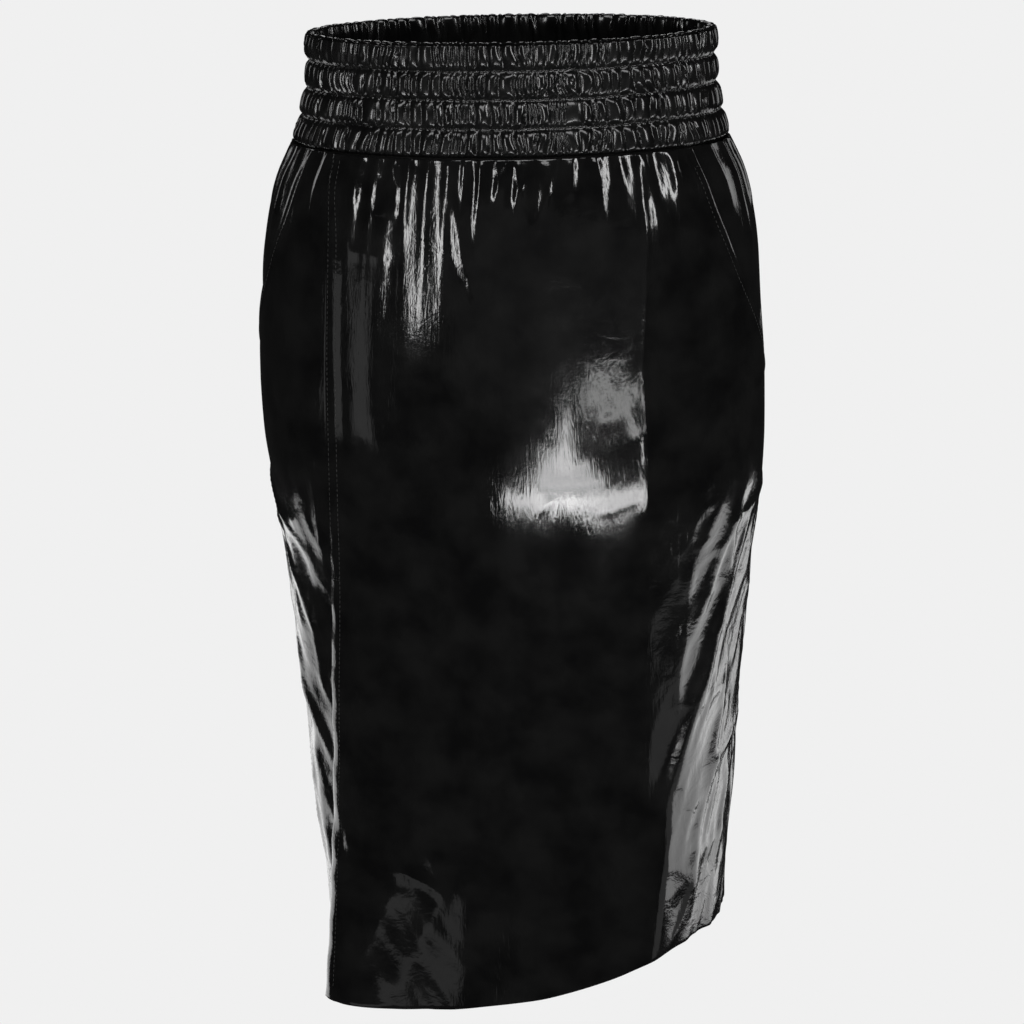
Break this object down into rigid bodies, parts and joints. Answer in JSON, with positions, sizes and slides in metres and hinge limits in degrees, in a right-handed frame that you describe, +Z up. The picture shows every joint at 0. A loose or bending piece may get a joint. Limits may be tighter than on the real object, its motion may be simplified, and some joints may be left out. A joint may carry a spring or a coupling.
{
  "type": "leather knee-length skirt",
  "caption": "Knee-length skirt in glossy leather with a wide shirred elastic waistband, a gathered hip, slanted side pockets and a slit beside the front panel.",
  "frame": {"origin": "centre of the waist, at half the height of the waistband, where the wearer's waist holds the skirt", "axes": "+Z up along the body, -Y out of the front, +X to the wearer's left"},
  "size_m": [0.3478, 0.2708, 0.663],
  "materials": {
    "waistband_leather": "glossy black leather, shirred over elastic",
    "panel_leather": "smooth glossy black leather with fine wrinkles"
  },
  "bodies": {
    "root": {"waistband": "waistband_leather", "front_panel": "panel_leather", "side_front_panel": "panel_leather", "back_panel": "panel_leather", "left_pocket_facing": "panel_leather", "right_pocket_facing": "panel_leather"}
  },
  "joints": []
}
